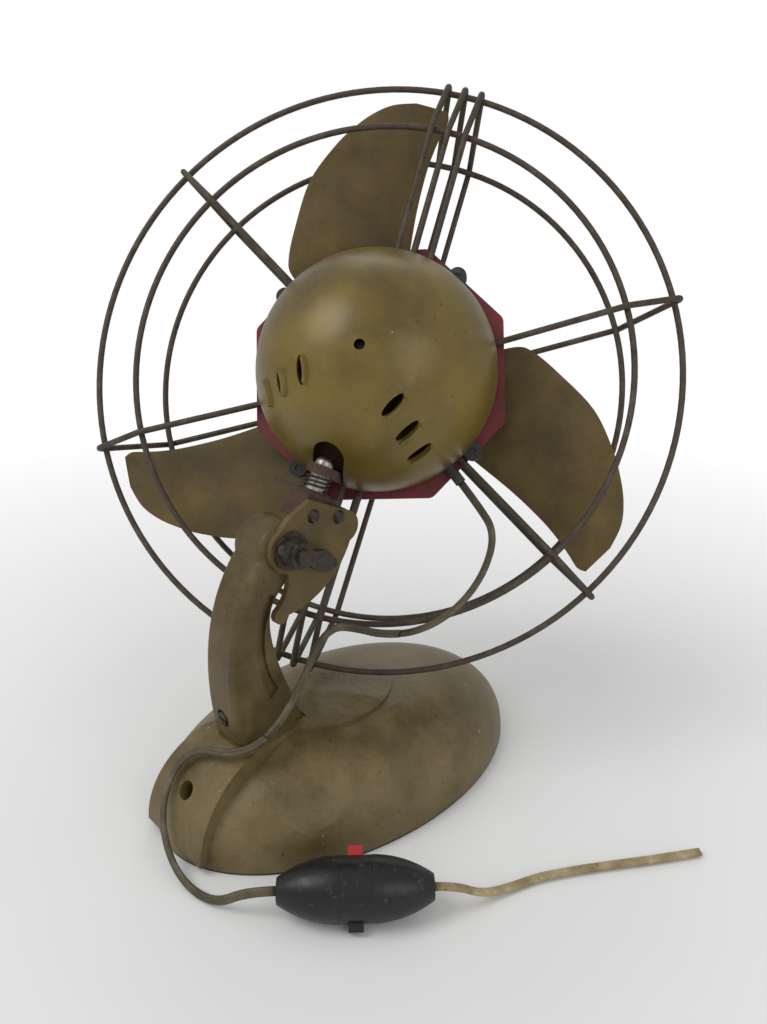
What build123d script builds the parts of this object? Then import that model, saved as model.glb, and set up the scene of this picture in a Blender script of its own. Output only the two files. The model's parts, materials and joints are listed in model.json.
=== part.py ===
from build123d import *
from math import atan2, cos, hypot, pi, radians, sin, sqrt, tan
import os

# Vintage mains desk fan, millimetres.  +Z is up, +Y is the way the base points, +X is on the
# right when the fan is seen from behind.  The origin is the centre of the base's footprint on
# the floor.  The rest pose has the head tilted nose down and swivelled to the left.

# ---- driving dimensions -------------------------------------------------------------------
BASE_LENGTH, BASE_WIDTH, BASE_HEIGHT = 198.0, 128.0, 45.5
BASE_WALL, BASE_RIM_GAP = 3.0, 1.2
SEAT_INSET = 0.4                         # rubber seat ring under the rim
PIVOT_Y, PIVOT_Z = -37.0, 132.0          # tilt axis, parallel to X
TILT_REST, SWIVEL_REST = 30.0, 36.0      # nose down, turned to the left
ARM_WIDTH, KNUCKLE_RADIUS = 21.0, 12.0
BOLT_RADIUS = 3.5
PLATE_THICK = 3.0                        # side plate of the tilt bracket
STUD_RADIUS, STUD_TOP, STUD_FORWARD = 4.2, 43.0, 12.0
SADDLE_LOW, SADDLE_TOP = 13.6, 25.0      # rusty saddle block, measured along the stud
LUG_LOW, LUG_THICK = 34.6, 4.4           # tongue that turns on the stud
SPRING_WIRE, SPRING_TURNS = 1.1, 3
HEAD_FORWARD, HEAD_RISE = 34.0, 91.4     # dome centre from the stud
DOME_RADIUS, DOME_WALL = 58.0, 1.2
NOTCH_WIDTH, NOTCH_BACK = 15.0, 40.0
LOUVRE_LENGTH, LOUVRE_WIDTH, LOUVRE_RISE = 13.0, 4.2, 1.6
OIL_HOLE_RADIUS = 2.4
PLATE_BACK, CAGE_PLATE_THICK, CAGE_PLATE_RADIUS = 6.0, 1.5, 66.0
WIRE = 3.0                               # cage wire, diameter
RING_RADIUS, SIDE_RING_RADIUS = 145.0, 121.0
RING_Z, REAR_RING_Z, FRONT_RING_Z = 11.0, 0.0, 41.0
TRIPLE_PITCH = 8.5
CAGE_TURN = 5.0                          # spokes against the dome, degrees
NOSE_RADIUS, NOSE_Z = 30.0, 52.0         # cap in the middle of the front grille
SHAFT_RADIUS, SHAFT_BACK, SHAFT_FRONT = 4.0, -46.0, 39.0
STATOR_RADIUS, STATOR_LONG, ROTOR_RADIUS, AIR_GAP = 44.0, 24.0, 22.0, 0.4
BLADE_COUNT, BLADE_PHASE, BLADE_THICK = 3, 96.5, 1.2
HUB_BACK, HUB_LONG, HUB_RADIUS = 17.5, 17.0, 13.0
CORD_DIA = 4.0
SWITCH_LONG, SWITCH_RADIUS, SWITCH_BAND = 63.5, 13.0, 13.5
RUN_FIT, WELD_GAP, SEAT_GAP = 0.05, 0.02, 0.3

# ---- frames -------------------------------------------------------------------------------
TILT, TURN = radians(TILT_REST), radians(SWIVEL_REST)
tilt = Plane(origin=(0, PIVOT_Y, PIVOT_Z), x_dir=(1, 0, 0), z_dir=(0, sin(TILT), cos(TILT)))
stud_foot = tilt.from_local_coords((0, STUD_FORWARD, 0))
swivel = Plane(
    origin=stud_foot,
    x_dir=tilt.x_dir * cos(TURN) + tilt.y_dir * sin(TURN),
    z_dir=tilt.z_dir,
)
# head frame: local Z is the way the air blows, local Y is up along the stud
head = Plane(
    origin=swivel.from_local_coords((0, HEAD_FORWARD, HEAD_RISE)),
    x_dir=swivel.x_dir * -1,
    z_dir=swivel.y_dir,
)
head_axis = Axis(head.origin, head.z_dir)
# half section of the head: local X is the radius, local Y is the head's axis
section = Plane(origin=head.origin, x_dir=head.x_dir, z_dir=head.y_dir * -1)

os.makedirs("parts", exist_ok=True)


def save(part, label):
    part.label = label
    export_step(part, f"parts/{label}.step")


def around(angle, radius, height=0.0):
    """A point of the head frame given by angle, radius and place along the axis."""
    a = radians(angle)
    return head.from_local_coords((radius * cos(a), radius * sin(a), height))


def radial_plane(angle, height=0.0, radius=0.0):
    """A plane whose X is the head's radius at this angle and whose Y is the head's axis."""
    a = radians(angle)
    out = head.x_dir * cos(a) + head.y_dir * sin(a)
    side = head.x_dir * -sin(a) + head.y_dir * cos(a)
    return Plane(origin=around(angle, radius, height), x_dir=out, z_dir=side * -1)


# ---- base ---------------------------------------------------------------------------------
def dome_sections(shrink=0.0, low=BASE_RIM_GAP):
    """Ellipses that rise to the base's crown: height and share of the footprint."""
    top = BASE_HEIGHT - shrink
    for k in (0.0, 0.22, 0.46, 0.68, 0.84, 0.94, 0.985):
        z = low + (top - low) * k
        share = (1 - k**2.3) ** (1 / 2.3)
        yield z, share


def base_dome(shrink, low):
    with BuildPart() as dome:
        for z, share in dome_sections(shrink, low):
            with BuildSketch(Plane.XY.offset(z)):
                Ellipse((BASE_WIDTH / 2 - shrink) * share, (BASE_LENGTH / 2 - shrink) * share)
        loft()
    return dome.part


SPINE_FOOT_Y, SPINE_RISE = -44.0, 2.2
PAD_LONG, PAD_WIDE, PAD_RISE = 35.0, 27.0, 1.4
HANG_Y, HANG_RADIUS = -84.0, 4.2
ARM_FOOT_Z = BASE_HEIGHT - 1.0
FOOT_BACK_Y, FOOT_FRONT_Y = -66.0, -30.0
BASE_BOLT_Y, BASE_BOLT_RADIUS = -48.0, 3.0

outer_dome, pad_dome = base_dome(0, BASE_RIM_GAP), base_dome(-PAD_RISE, BASE_RIM_GAP)
inner_dome, boss_dome = base_dome(BASE_WALL, -2.0), base_dome(BASE_WALL / 2, -2.0)
with BuildPart() as base_shell:
    add(outer_dome)
    # the pad in front of the arm follows the crown, a little proud of it
    with BuildSketch(Plane.XY.offset(BASE_HEIGHT - 16)):
        with Locations((0, -8)):
            Ellipse(PAD_WIDE, PAD_LONG)
    pad = extrude(amount=30, mode=Mode.PRIVATE)
    add(pad & pad_dome)
    # the spine behind the arm: a flat-sided wedge between two creases
    with BuildSketch(Plane.YZ):
        with BuildLine():
            l1 = Line((-30, 30), (-30, BASE_HEIGHT - 0.6))
            l2 = Line(l1 @ 1, (FOOT_BACK_Y - 1, BASE_HEIGHT - 2.5))
            l3 = ThreePointArc(l2 @ 1, (-88, 29), (-BASE_LENGTH / 2 + 1.5, 4))
            l4 = Line(l3 @ 1, (-BASE_LENGTH / 2 + 8, 4))
            Line(l4 @ 1, l1 @ 0)
        make_face()
    side = extrude(amount=BASE_WIDTH / 2, both=True, mode=Mode.PRIVATE)
    with BuildSketch(Plane.XY):
        Polygon((-12.5, -30), (12.5, -30), (24, -110), (-24, -110), align=None)
    plan = extrude(amount=BASE_HEIGHT + 5, mode=Mode.PRIVATE)
    add(side & plan)
    add(inner_dome, mode=Mode.SUBTRACT)
    with BuildSketch(Plane.XY.offset(-10)):
        Rectangle(400, 400)
    extrude(amount=10 + BASE_RIM_GAP, mode=Mode.SUBTRACT)
    # boss for the bolt that holds the arm
    with BuildSketch(Plane.XY.offset(BASE_HEIGHT - 14)):
        with Locations((0, BASE_BOLT_Y)):
            Circle(9)
    add(extrude(amount=14, mode=Mode.PRIVATE) & boss_dome)
    # seat of the arm, bolt hole, wall-hanging hole
    with BuildSketch(Plane.XY.offset(ARM_FOOT_Z)):
        with Locations((0, (FOOT_BACK_Y + FOOT_FRONT_Y) / 2)):
            Rectangle(ARM_WIDTH + 0.4, FOOT_FRONT_Y - FOOT_BACK_Y + 0.4)
    extrude(amount=20, mode=Mode.SUBTRACT)
    with BuildSketch(Plane.XY):
        with Locations((0, BASE_BOLT_Y)):
            Circle(BASE_BOLT_RADIUS + RUN_FIT)
    extrude(amount=BASE_HEIGHT + 10, mode=Mode.SUBTRACT)
    hang = Plane(origin=(0, HANG_Y, 24), x_dir=(1, 0, 0), z_dir=(0, -0.8, 0.6))
    with BuildSketch(hang):
        Circle(HANG_RADIUS)
    extrude(amount=20, both=True, mode=Mode.SUBTRACT)
save(base_shell.part, "base_shell")

with BuildPart() as seat_ring:
    with BuildSketch():
        Ellipse(BASE_WIDTH / 2 - SEAT_INSET, BASE_LENGTH / 2 - SEAT_INSET)
        Ellipse(BASE_WIDTH / 2 - BASE_WALL, BASE_LENGTH / 2 - BASE_WALL, mode=Mode.SUBTRACT)
    extrude(amount=BASE_RIM_GAP)
save(seat_ring.part, "seat_ring")

# ---- arm ----------------------------------------------------------------------------------
GROOVE_DEPTH = 1.6
with BuildPart() as arm:
    with BuildSketch(Plane.YZ):
        with BuildLine():
            back = Spline(
                (FOOT_BACK_Y, ARM_FOOT_Z), (-67.5, PIVOT_Z - 44), (-61, PIVOT_Z - 20),
                (PIVOT_Y - 13.5, PIVOT_Z - 3),
            )
            top = ThreePointArc(back @ 1, (PIVOT_Y - 5, PIVOT_Z + 10.6), (PIVOT_Y + KNUCKLE_RADIUS, PIVOT_Z))
            inner = Spline(
                top @ 1, (PIVOT_Y + 4, PIVOT_Z - 13), (-44.5, PIVOT_Z - 26), (-45.5, PIVOT_Z - 40),
                (-41, ARM_FOOT_Z + 29), (-36, ARM_FOOT_Z + 15), (FOOT_FRONT_Y, ARM_FOOT_Z),
            )
            Line(inner @ 1, back @ 0)
        make_face()
    extrude(amount=ARM_WIDTH / 2, both=True)
    rims = arm.edges().filter_by(GeomType.LINE, reverse=True).group_by(Axis.X)
    fillet(rims[0] + rims[-1], 3.0)
    # a groove runs along both flanks beside the inner edge
    for flank in (-1, 1):
        with BuildSketch(Plane.YZ.offset(flank * ARM_WIDTH / 2)):
            with BuildLine():
                inner = ThreePointArc((-44, 112), (-50.4, 93), (-44.5, 66))
                turn_low = Line(inner @ 1, (-48.5, 62))
                outer = ThreePointArc(turn_low @ 1, (-54.2, 92), (-47.6, 113.6))
                Line(outer @ 1, inner @ 0)
            make_face()
        extrude(amount=-flank * GROOVE_DEPTH, mode=Mode.SUBTRACT)
    with BuildSketch(Plane.YZ):
        with Locations((PIVOT_Y, PIVOT_Z)):
            Circle(BOLT_RADIUS + RUN_FIT)
    extrude(amount=ARM_WIDTH, both=True, mode=Mode.SUBTRACT)
    with BuildSketch(Plane.XY.offset(ARM_FOOT_Z)):
        with Locations((0, BASE_BOLT_Y)):
            Circle(BASE_BOLT_RADIUS + RUN_FIT)
    extrude(amount=14, mode=Mode.SUBTRACT)
    screw_seat = Plane(origin=(0, FOOT_BACK_Y, ARM_FOOT_Z + 11), x_dir=(1, 0, 0), z_dir=(0, -1, 0))
    with BuildSketch(screw_seat):
        Circle(4.2)
    extrude(amount=6, mode=Mode.SUBTRACT)
    with BuildSketch(screw_seat):
        Circle(1.9 + RUN_FIT)
    extrude(amount=-14, mode=Mode.SUBTRACT)
save(arm.part, "arm")

with BuildPart() as arm_screw:
    with BuildSketch(screw_seat.offset(-12)):
        Circle(1.9)
    extrude(amount=12)
    with BuildSketch(screw_seat):
        Circle(3.8)
    extrude(amount=2.4, taper=20)
    with BuildSketch(screw_seat.offset(1.4)):
        Rectangle(9, 1)
    extrude(amount=3, mode=Mode.SUBTRACT)
save(arm_screw.part, "arm_screw")

BOLT_SEAT_Z = BASE_HEIGHT - 14
with BuildPart() as base_bolt:
    with BuildSketch(Plane.XY.offset(BOLT_SEAT_Z - 2 - 4)):
        with Locations((0, BASE_BOLT_Y)):
            RegularPolygon(5.6, 6)
    extrude(amount=4)
    with BuildSketch(Plane.XY.offset(BOLT_SEAT_Z - 2)):
        with Locations((0, BASE_BOLT_Y)):
            Circle(BASE_BOLT_RADIUS)
    extrude(amount=2 + 14 + 11)
save(base_bolt.part, "base_bolt")

with BuildPart() as base_washer:
    with BuildSketch(Plane.XY.offset(BOLT_SEAT_Z - 2)):
        with Locations((0, BASE_BOLT_Y)):
            Circle(8)
            Circle(BASE_BOLT_RADIUS + RUN_FIT, mode=Mode.SUBTRACT)
    extrude(amount=2)
save(base_washer.part, "base_washer")

# ---- tilt clamp ---------------------------------------------------------------------------
HALF = ARM_WIDTH / 2
FACE_GAP = 0.1
PLATE_X = HALF + FACE_GAP
WASHER_X = PLATE_X + PLATE_THICK + FACE_GAP
WASHER_THICK = 1.4
NUT_X = WASHER_X + WASHER_THICK + FACE_GAP
NUT_LONG, NUT_RADIUS = 7.0, 6.5
pivot = Plane(origin=(0, PIVOT_Y, PIVOT_Z), x_dir=(0, 1, 0), z_dir=(1, 0, 0))

with BuildPart() as tilt_bolt:
    with BuildSketch(pivot.offset(-HALF - 0.05)):
        Circle(BOLT_RADIUS)
    extrude(amount=HALF + NUT_X + NUT_LONG + 2.5)
    with BuildSketch(pivot.offset(-HALF)):
        Circle(8.2)
    extrude(amount=-4.6)
    head_edges = tilt_bolt.faces().sort_by(Axis.X)[0].edges()
    fillet(head_edges, 3.2)
save(tilt_bolt.part, "tilt_bolt")

with BuildPart() as clamp_washer:
    with BuildSketch(pivot.offset(WASHER_X)):
        Circle(8.6)
        Circle(BOLT_RADIUS + RUN_FIT, mode=Mode.SUBTRACT)
    extrude(amount=WASHER_THICK)
save(clamp_washer.part, "clamp_washer")

WING_REACH, WING_ANGLE = 19.0, -28.0
wing = Plane(
    origin=(NUT_X + 2.6, PIVOT_Y, PIVOT_Z),
    x_dir=(0, cos(radians(WING_ANGLE)), sin(radians(WING_ANGLE))),
    z_dir=(1, 0, 0),
)
with BuildPart() as wing_nut:
    with BuildSketch(pivot.offset(NUT_X)):
        Circle(NUT_RADIUS)
    extrude(amount=NUT_LONG, taper=6)
    with BuildSketch(wing):
        with BuildLine():
            w1 = Line((0, 4.2), (8, 3.2))
            w2 = ThreePointArc(w1 @ 1, (WING_REACH, 3.4), (WING_REACH + 3.4, 0))
            w3 = ThreePointArc(w2 @ 1, (WING_REACH, -3.4), (8, -3.2))
            w4 = Line(w3 @ 1, (0, -4.2))
            Line(w4 @ 1, w1 @ 0)
        make_face()
    extrude(amount=3.0)
    with BuildSketch(wing):
        with BuildLine():
            v1 = Line((0, 3.6), (-7, 2.6))
            v2 = ThreePointArc(v1 @ 1, (-10.5, 0), (-7, -2.6))
            v3 = Line(v2 @ 1, (0, -3.6))
            Line(v3 @ 1, v1 @ 0)
        make_face()
    extrude(amount=3.0)
    with BuildSketch(pivot):
        Circle(BOLT_RADIUS + RUN_FIT)
    extrude(amount=60, mode=Mode.SUBTRACT)
save(wing_nut.part, "wing_nut")

# ---- tilt bracket: side plate, saddle block and swivel stud -------------------------------
plate_plane = Plane(origin=(PLATE_X, PIVOT_Y, PIVOT_Z), x_dir=tilt.y_dir, z_dir=(1, 0, 0))
RIVET_SPOTS = ((5.0, 17.0), (19.0, 20.5))
RIVET_RADIUS = 1.8

with BuildPart() as tilt_plate:
    with BuildSketch(plate_plane):
        Circle(10.5)
        with BuildLine():
            p1 = Spline((-9.0, 5.4), (-6, 14), (0.0, 23.0), tangents=((0.1, 1), (0.5, 1)))
            p2 = Line(p1 @ 1, (23.0, 24.6))
            p3 = ThreePointArc(p2 @ 1, (31.5, 21.5), (31.0, 12.5))
            p4 = ThreePointArc(p3 @ 1, (26.5, -12.0), (13.0, -27.0))
            p5 = ThreePointArc(p4 @ 1, (8.6, -32.0), (6.2, -26.5))
            p6 = ThreePointArc(p5 @ 1, (6.5, -15.0), (3.0, -9.0))
            Line(p6 @ 1, p1 @ 0)
        make_face()
    extrude(amount=PLATE_THICK)
    with BuildSketch(plate_plane):
        Circle(BOLT_RADIUS + RUN_FIT)
        with Locations(*RIVET_SPOTS):
            Circle(RIVET_RADIUS + RUN_FIT)
    extrude(amount=PLATE_THICK, mode=Mode.SUBTRACT)
save(tilt_plate.part, "tilt_plate")

SADDLE_BACK, SADDLE_FRONT, SADDLE_LEFT = 0.5, 24.5, -10.0
with BuildPart() as saddle_block:
    with BuildSketch(tilt.offset(SADDLE_LOW)):
        with BuildLine():
            b1 = Line((PLATE_X, SADDLE_BACK), (PLATE_X, SADDLE_FRONT))
            b2 = Line(b1 @ 1, (0, SADDLE_FRONT))
            b3 = ThreePointArc(b2 @ 1, (SADDLE_LEFT, STUD_FORWARD), (0, SADDLE_BACK))
            Line(b3 @ 1, b1 @ 0)
        make_face()
    extrude(amount=SADDLE_TOP - SADDLE_LOW)
    with BuildSketch(swivel.offset(SADDLE_LOW)):
        Circle(STUD_RADIUS)
    extrude(amount=SADDLE_TOP - SADDLE_LOW, mode=Mode.SUBTRACT)
    with BuildSketch(plate_plane):
        with Locations(*RIVET_SPOTS):
            Circle(RIVET_RADIUS + RUN_FIT)
    extrude(amount=-5.0, mode=Mode.SUBTRACT)
save(saddle_block.part, "saddle_block")

with BuildPart() as plate_rivets:
    with BuildSketch(plate_plane.offset(-4.8)):
        with Locations(*RIVET_SPOTS):
            Circle(RIVET_RADIUS)
    extrude(amount=4.8 + PLATE_THICK + FACE_GAP)
    with BuildSketch(plate_plane.offset(PLATE_THICK + FACE_GAP)):
        with Locations(*RIVET_SPOTS):
            Circle(3.2)
    extrude(amount=1.4, taper=35)
save(plate_rivets.part, "plate_rivets")

with BuildPart() as swivel_stud:
    with BuildSketch(swivel.offset(SADDLE_LOW)):
        Circle(STUD_RADIUS)
    extrude(amount=STUD_TOP - SADDLE_LOW)
    fillet(swivel_stud.edges().filter_by(GeomType.CIRCLE).sort_by(Axis(stud_foot, swivel.z_dir))[-1], 3.4)
save(swivel_stud.part, "swivel_stud")

# the thin friction plate lies on the saddle and reaches out to the left
FRICTION_THICK = 1.4
with BuildPart() as friction_plate:
    with BuildSketch(tilt.offset(SADDLE_TOP)):
        with BuildLine():
            f1 = ThreePointArc((-8, 4), (11.2, 12), (-8, 20))
            f2 = Line(f1 @ 1, (-24, 16))
            f3 = ThreePointArc(f2 @ 1, (-27, 12), (-24, 8))
            Line(f3 @ 1, f1 @ 0)
        make_face()
        with Locations((0, STUD_FORWARD)):
            Circle(STUD_RADIUS + RUN_FIT, mode=Mode.SUBTRACT)
    extrude(amount=FRICTION_THICK)
save(friction_plate.part, "friction_plate")

# helical friction spring between the plate and the tongue
SPRING_LOW = SADDLE_TOP + FRICTION_THICK + 1.2
SPRING_HIGH = LUG_LOW - 0.3
SPRING_MEAN = STUD_RADIUS + SPRING_WIRE / 2 + 0.5
with BuildPart() as spring_washer:
    with BuildSketch(swivel.offset(SADDLE_TOP + FRICTION_THICK)):
        Circle(7.6)
        Circle(STUD_RADIUS + RUN_FIT, mode=Mode.SUBTRACT)
    extrude(amount=1.0)
save(spring_washer.part, "spring_washer")

spring_height = SPRING_HIGH - SPRING_LOW - SPRING_WIRE
spring_pitch = spring_height / SPRING_TURNS
spring_base = swivel.offset(SPRING_LOW + SPRING_WIRE / 2)


def spring_point(quarter):
    """A point of the coil's middle line and the way the wire runs there."""
    a = quarter * pi / 2
    place = Vector(SPRING_MEAN * cos(a), SPRING_MEAN * sin(a), spring_pitch * quarter / 4)
    run = Vector(-sin(a), cos(a), spring_pitch / (2 * pi * SPRING_MEAN)).normalized()
    return place, run


def biarc_joint(p0, t0, p1, t1):
    """Where two equal-armed arcs meet that leave p0 along t0 and reach p1 along t1."""
    v, both = p1 - p0, t0 + t1
    a, b = 2 - 2 * t0.dot(t1), v.dot(both)
    arm_length = (-b + sqrt(b**2 + a * v.dot(v))) / a
    q0, q1 = p0 + t0 * arm_length, p1 - t1 * arm_length
    return (q0 + q1) * 0.5, (q1 - q0).normalized()


with BuildPart() as friction_spring:
    with BuildLine() as coil:
        for quarter in range(4 * SPRING_TURNS):
            (p0, t0), (p1, t1) = spring_point(quarter), spring_point(quarter + 1)
            joint, middle = biarc_joint(p0, t0, p1, t1)
            TangentArc(spring_base.from_local_coords(p0), spring_base.from_local_coords(joint),
                       tangent=spring_base.from_local_coords(t0) - spring_base.origin)
            TangentArc(spring_base.from_local_coords(joint), spring_base.from_local_coords(p1),
                       tangent=spring_base.from_local_coords(middle) - spring_base.origin)
    coil_wire = coil.wires()[0]
    with BuildSketch(Plane(origin=coil_wire @ 0, z_dir=coil_wire % 0)):
        Circle(SPRING_WIRE / 2)
    sweep(path=coil_wire)
save(friction_spring.part, "friction_spring")
print("spring turn-to-turn gap", round(spring_pitch - SPRING_WIRE, 3))

# ---- head: frame that carries everything and turns on the stud -----------------------------
# tongue of the rear frame, with a running bore on the stud, and its riser inside the notch
FRAME_RADIUS = DOME_RADIUS - DOME_WALL - 0.3
BEARING_RADIUS = 9.0
SEAT_Z = -6.0
CORE_SEAT = STATOR_RADIUS + SEAT_GAP
SCREW_CIRCLE, SCREW_RADIUS, SCREW_TIP_Z = 49.2, 1.2, -4.5
with BuildPart() as rear_frame:
    with BuildSketch(section):
        with BuildLine():
            Polyline(
                (BEARING_RADIUS, -34), (16, -34), (18, -29), (40, -22), (FRAME_RADIUS - 5.3, -16),
                (FRAME_RADIUS - 5.3, SEAT_Z), (FRAME_RADIUS - 1.2, SEAT_Z), (FRAME_RADIUS - 1.2, -0.2),
                (CORE_SEAT, -0.2), (CORE_SEAT, -14), (38, -17), (BEARING_RADIUS, -26), close=True,
            )
        make_face()
    revolve(axis=head_axis)
    # riser and tongue: a strap that leaves the dome by its notch and turns back under the motor
    with BuildSketch(Plane(origin=head.origin, x_dir=head.z_dir, z_dir=head.x_dir * -1)):
        with BuildLine():
            y_low = LUG_LOW - HEAD_RISE
            y_high = y_low + LUG_THICK
            back_z = -HEAD_FORWARD
            Polyline(
                (back_z, y_low), (-7, y_low), (-7, -47), (-13, -47), (-13, y_high), (back_z, y_high),
                close=True,
            )
        make_face()
    extrude(amount=6.0, both=True)
    with BuildSketch(swivel.offset(LUG_LOW)):
        Circle(6.9)
    extrude(amount=LUG_THICK)
    with BuildSketch(swivel.offset(LUG_LOW - 1)):
        Circle(STUD_RADIUS + RUN_FIT)
    extrude(amount=LUG_THICK + 6, mode=Mode.SUBTRACT)
    with BuildSketch(head.offset(SCREW_TIP_Z - 0.2)):
        with PolarLocations(SCREW_CIRCLE, 4, start_angle=45):
            Circle(SCREW_RADIUS + RUN_FIT)
    extrude(amount=6, mode=Mode.SUBTRACT)
save(rear_frame.part, "rear_frame")

# ---- dome ---------------------------------------------------------------------------------
# louvres: three each side, given by the angle from the pole and the angle from the notch
LOUVRE_POLAR = (29.0, 43.0, 57.0)
LOUVRE_AZIMUTH = 50.0


def louvre_plane(side, polar):
    """Plane on the dome: X across the louvre, Y along it, Z outwards."""
    t, a = radians(polar), radians(-90 + side * LOUVRE_AZIMUTH)
    out = head.x_dir * (sin(t) * cos(a)) + head.y_dir * (sin(t) * sin(a)) - head.z_dir * cos(t)
    along = head.y_dir * cos(radians(20)) + head.x_dir * (side * sin(radians(20)))
    along = along - out * along.dot(out)
    return Plane(origin=head.origin + out * DOME_RADIUS, x_dir=along.cross(out), z_dir=out)


with BuildPart() as rear_dome:
    with BuildSketch(section):
        with BuildLine():
            d1 = RadiusArc((0, -DOME_RADIUS), (DOME_RADIUS, 0), -DOME_RADIUS)
            d2 = Line(d1 @ 1, (DOME_RADIUS - DOME_WALL, 0))
            d3 = RadiusArc(d2 @ 1, (0, -DOME_RADIUS + DOME_WALL), DOME_RADIUS - DOME_WALL)
            Line(d3 @ 1, d1 @ 0)
        make_face()
    revolve(axis=head_axis)
    # lips of the louvres stand proud as slim lens shapes
    for side in (-1, 1):
        for polar in LOUVRE_POLAR:
            with BuildSketch(louvre_plane(side, polar).offset(-2.2)):
                with Locations((LOUVRE_WIDTH / 2, 0)):
                    Ellipse(LOUVRE_WIDTH * 0.62, LOUVRE_LENGTH * 0.56)
            extrude(amount=2.2 + LOUVRE_RISE, taper=18)
    with BuildSketch(section):
        with BuildLine():
            e1 = RadiusArc((0, -DOME_RADIUS + DOME_WALL), (DOME_RADIUS - DOME_WALL, 0), -DOME_RADIUS + DOME_WALL)
            e2 = Line(e1 @ 1, (0, 0))
            Line(e2 @ 1, e1 @ 0)
        make_face()
    revolve(axis=head_axis, mode=Mode.SUBTRACT)
    for side in (-1, 1):
        for polar in LOUVRE_POLAR:
            with BuildSketch(louvre_plane(side, polar).offset(-8)):
                Ellipse(LOUVRE_WIDTH / 2, LOUVRE_LENGTH / 2)
            extrude(amount=16, mode=Mode.SUBTRACT)
    # oil hole in the pole, and the arch-ended notch over the stud
    with BuildSketch(head.offset(-DOME_RADIUS - 2)):
        Circle(OIL_HOLE_RADIUS)
    extrude(amount=8, mode=Mode.SUBTRACT)
    notch_plane = Plane(origin=head.from_local_coords((0, -30, 0)), x_dir=head.x_dir, z_dir=head.y_dir * -1)
    with BuildSketch(notch_plane):
        with Locations((0, -NOTCH_BACK / 2 + NOTCH_WIDTH / 4 + 1)):
            Rectangle(NOTCH_WIDTH, NOTCH_BACK - NOTCH_WIDTH / 2 + 2)
        with Locations((0, -NOTCH_BACK + NOTCH_WIDTH / 2)):
            Circle(NOTCH_WIDTH / 2)
    extrude(amount=40, mode=Mode.SUBTRACT)
save(rear_dome.part, "rear_dome")

# ---- motor --------------------------------------------------------------------------------
with BuildPart() as rear_bearing:
    with BuildSketch(head.offset(-33.5)):
        Circle(BEARING_RADIUS - 0.02)
        Circle(SHAFT_RADIUS + RUN_FIT, mode=Mode.SUBTRACT)
    extrude(amount=12)
save(rear_bearing.part, "rear_bearing")

with BuildPart() as stator_core:
    with BuildSketch(head.offset(-STATOR_LONG + 11.5)):
        Circle(STATOR_RADIUS)
        Circle(STATOR_RADIUS - 9, mode=Mode.SUBTRACT)
        with PolarLocations(0, 4):
            with Locations((STATOR_RADIUS - 16, 0)):
                Rectangle(20, 13)
        Circle(ROTOR_RADIUS + AIR_GAP, mode=Mode.SUBTRACT)
    extrude(amount=STATOR_LONG - 12)
save(stator_core.part, "stator_core")

with BuildPart() as field_coils:
    with BuildSketch(head.offset(-STATOR_LONG + 10.0)):
        with PolarLocations(0, 4):
            with Locations((30.6, 0)):
                RectangleRounded(6.4, 21, 2)
                Rectangle(8, 13.4, mode=Mode.SUBTRACT)
    extrude(amount=STATOR_LONG - 9)
save(field_coils.part, "field_coils")

with BuildPart() as front_frame:
    with BuildSketch(section):
        with BuildLine():
            Polyline(
                (BEARING_RADIUS, 4.0), (42, 4.0), (45.5, 0.2), (51, 0.2), (51, PLATE_BACK - 0.05),
                (47, PLATE_BACK - 0.05), (46, 10.5), (20, 13.5), (14, 16.5), (BEARING_RADIUS, 16.5),
                close=True,
            )
        make_face()
    revolve(axis=head_axis)
    with BuildSketch(head):
        with PolarLocations(SCREW_CIRCLE, 4, start_angle=45):
            Circle(SCREW_RADIUS + RUN_FIT)
    extrude(amount=8, mode=Mode.SUBTRACT)
save(front_frame.part, "front_frame")

with BuildPart() as front_bearing:
    with BuildSketch(head.offset(4.2)):
        Circle(BEARING_RADIUS - 0.02)
        Circle(SHAFT_RADIUS + RUN_FIT, mode=Mode.SUBTRACT)
    extrude(amount=12)
save(front_bearing.part, "front_bearing")

# ---- cage plate on rubber bushes ------------------------------------------------------------
PLATE_FRONT = PLATE_BACK + CAGE_PLATE_THICK
BUSH_CIRCLE, BUSH_RADIUS, BUSH_ANGLE, BUSH_LONG = 60.0, 4.4, 18.5, 5.2
BUSH_SCREW_RADIUS = 1.4

with BuildPart() as cage_plate:
    with BuildSketch(head.offset(PLATE_BACK)):
        octagon = RegularPolygon(CAGE_PLATE_RADIUS, 8)
        fillet(octagon.vertices(), 5.0)
        Circle(47.3, mode=Mode.SUBTRACT)
        with PolarLocations(SCREW_CIRCLE, 4, start_angle=45):
            Circle(SCREW_RADIUS + RUN_FIT, mode=Mode.SUBTRACT)
        with PolarLocations(BUSH_CIRCLE, 4, start_angle=BUSH_ANGLE):
            Circle(BUSH_SCREW_RADIUS + RUN_FIT, mode=Mode.SUBTRACT)
    extrude(amount=CAGE_PLATE_THICK)
save(cage_plate.part, "cage_plate")

with BuildPart() as motor_screws:
    with BuildSketch(head.offset(SCREW_TIP_Z)):
        with PolarLocations(SCREW_CIRCLE, 4, start_angle=45):
            Circle(SCREW_RADIUS)
    extrude(amount=PLATE_FRONT - SCREW_TIP_Z)
    with BuildSketch(head.offset(PLATE_FRONT)):
        with PolarLocations(SCREW_CIRCLE, 4, start_angle=45):
            Circle(2.3)
    extrude(amount=1.4, taper=15)
save(motor_screws.part, "motor_screws")

with BuildPart() as plate_bushes:
    with BuildSketch(head.offset(PLATE_BACK - BUSH_LONG)):
        with PolarLocations(BUSH_CIRCLE, 4, start_angle=BUSH_ANGLE):
            Circle(BUSH_RADIUS)
            Circle(BUSH_SCREW_RADIUS + RUN_FIT, mode=Mode.SUBTRACT)
    extrude(amount=BUSH_LONG)
save(plate_bushes.part, "plate_bushes")

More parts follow.
